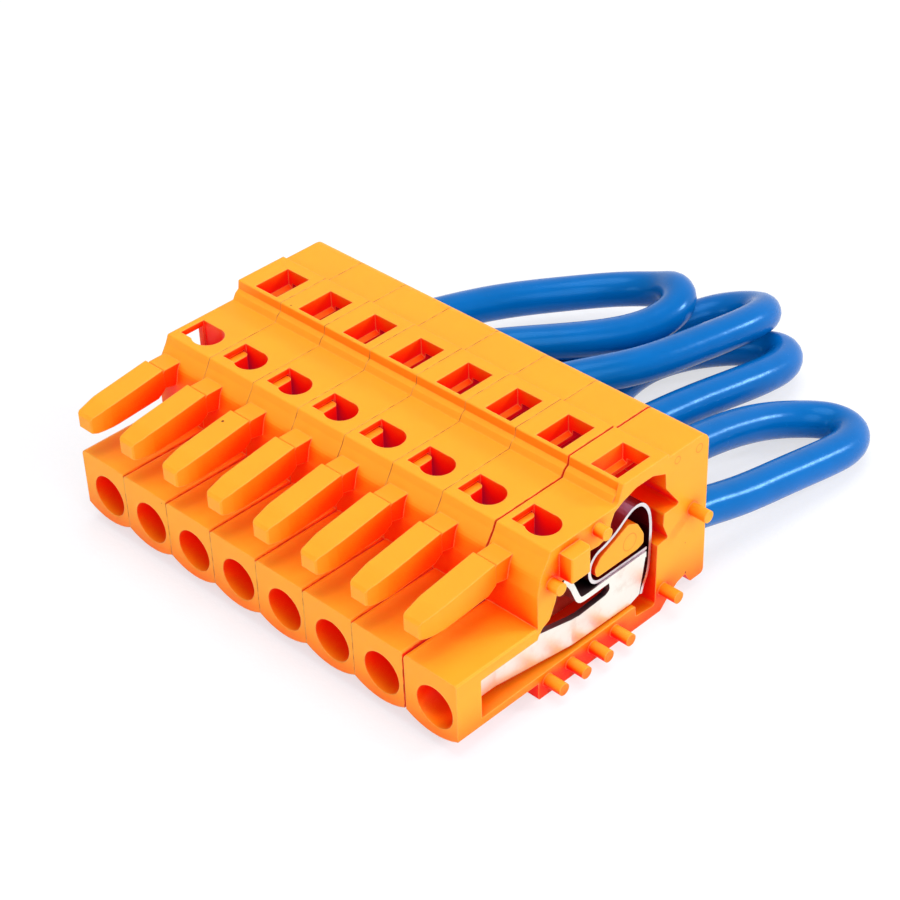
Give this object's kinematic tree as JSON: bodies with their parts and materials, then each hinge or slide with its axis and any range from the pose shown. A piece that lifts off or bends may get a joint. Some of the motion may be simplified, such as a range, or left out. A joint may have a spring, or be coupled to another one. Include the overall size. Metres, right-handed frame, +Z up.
{
  "type": "pluggable terminal block",
  "caption": "Row of orange single-pole plug housings with clamp springs, contact bars, coding fingers and blue insulated jumper wires looped between the poles at the rear.",
  "frame": {"origin": "centre of the bottom of the box round the housings and their metal parts, without the jumper wires", "axes": "+X along the row towards the open right side with the pegs, +Y from the mating face to the wire side, +Z up"},
  "size_m": [0.0424, 0.0559, 0.0142],
  "materials": {
    "housing_plastic": "moulded, satin",
    "spring_steel": "bright strip",
    "tinned_copper": "tin plated, satin",
    "wire_pvc": "smooth"
  },
  "bodies": {
    "root": {"housing_1": "housing_plastic", "housing_2": "housing_plastic", "housing_3": "housing_plastic", "housing_4": "housing_plastic", "housing_5": "housing_plastic", "housing_6": "housing_plastic", "housing_7": "housing_plastic", "housing_8": "housing_plastic", "clamp_spring_1": "spring_steel", "clamp_spring_2": "spring_steel", "clamp_spring_3": "spring_steel", "clamp_spring_4": "spring_steel", "clamp_spring_5": "spring_steel", "clamp_spring_6": "spring_steel", "clamp_spring_7": "spring_steel", "clamp_spring_8": "spring_steel", "current_bar_1": "tinned_copper", "current_bar_2": "tinned_copper", "current_bar_3": "tinned_copper", "current_bar_4": "tinned_copper", "current_bar_5": "tinned_copper", "current_bar_6": "tinned_copper", "current_bar_7": "tinned_copper", "current_bar_8": "tinned_copper", "conductor_end_1": "tinned_copper", "conductor_end_2": "tinned_copper", "conductor_end_3": "tinned_copper", "conductor_end_4": "tinned_copper", "conductor_end_5": "tinned_copper", "conductor_end_6": "tinned_copper", "conductor_end_7": "tinned_copper", "conductor_end_8": "tinned_copper", "jumper_wire_1": "wire_pvc", "jumper_wire_2": "wire_pvc", "jumper_wire_3": "wire_pvc", "jumper_wire_4": "wire_pvc"}
  },
  "joints": []
}
